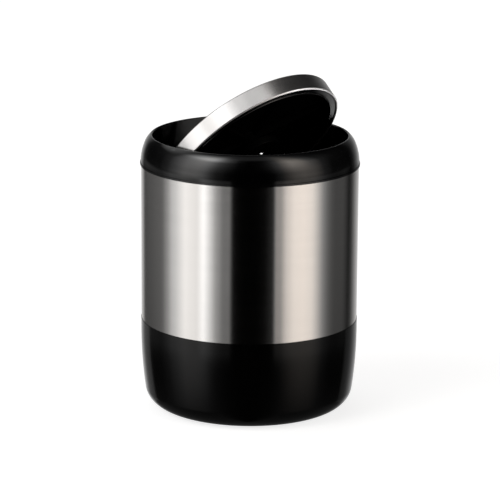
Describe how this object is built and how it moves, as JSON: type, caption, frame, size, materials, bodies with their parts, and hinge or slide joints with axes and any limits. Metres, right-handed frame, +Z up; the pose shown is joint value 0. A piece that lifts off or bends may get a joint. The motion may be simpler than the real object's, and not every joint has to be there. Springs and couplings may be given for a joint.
{
  "type": "swing-lid bin",
  "caption": "Small round swing-lid bin: black moulded tub in a brushed steel sleeve, lift-off black collar, and a weighted steel-capped lid tipping about pins across the mouth.",
  "frame": {"origin": "on the floor, under the middle of the bin", "axes": "+Z up along the bin's axis; the lid turns about a line parallel to X; at rest the lid is tipped with its -Y side raised, and the sleeve's seam is at +Y"},
  "size_m": [0.19, 0.19, 0.2987],
  "materials": {
    "black_gloss_plastic": "gloss",
    "brushed_stainless": "satin",
    "black_rubber": "matte",
    "black_acetal": "satin",
    "bright_steel": "polished",
    "black_satin_plastic": "satin",
    "black_painted_steel": "satin"
  },
  "bodies": {
    "bin": {"base_tub": "black_gloss_plastic", "steel_sleeve": "brushed_stainless", "foot_pads": "black_rubber"},
    "top": {"collar": "black_gloss_plastic", "pivot_bush_left": "black_acetal", "pivot_bush_right": "black_acetal"},
    "lid": {"lid_cap": "brushed_stainless", "lid_core": "black_satin_plastic", "counterweight": "black_painted_steel", "counterweight_screw": "bright_steel", "pivot_pin_left": "bright_steel", "pivot_pin_right": "bright_steel"}
  },
  "joints": [
    {"name": "collar_lift", "type": "slide", "parent": "bin", "child": "top", "axis": [0, 0, 1], "range_m": [0, 0.1]},
    {"name": "lid_swing", "type": "hinge", "parent": "top", "child": "lid", "pos_m": [0, 0, 0.23471], "axis": [1, 0, 0], "continuous": true}
  ]
}
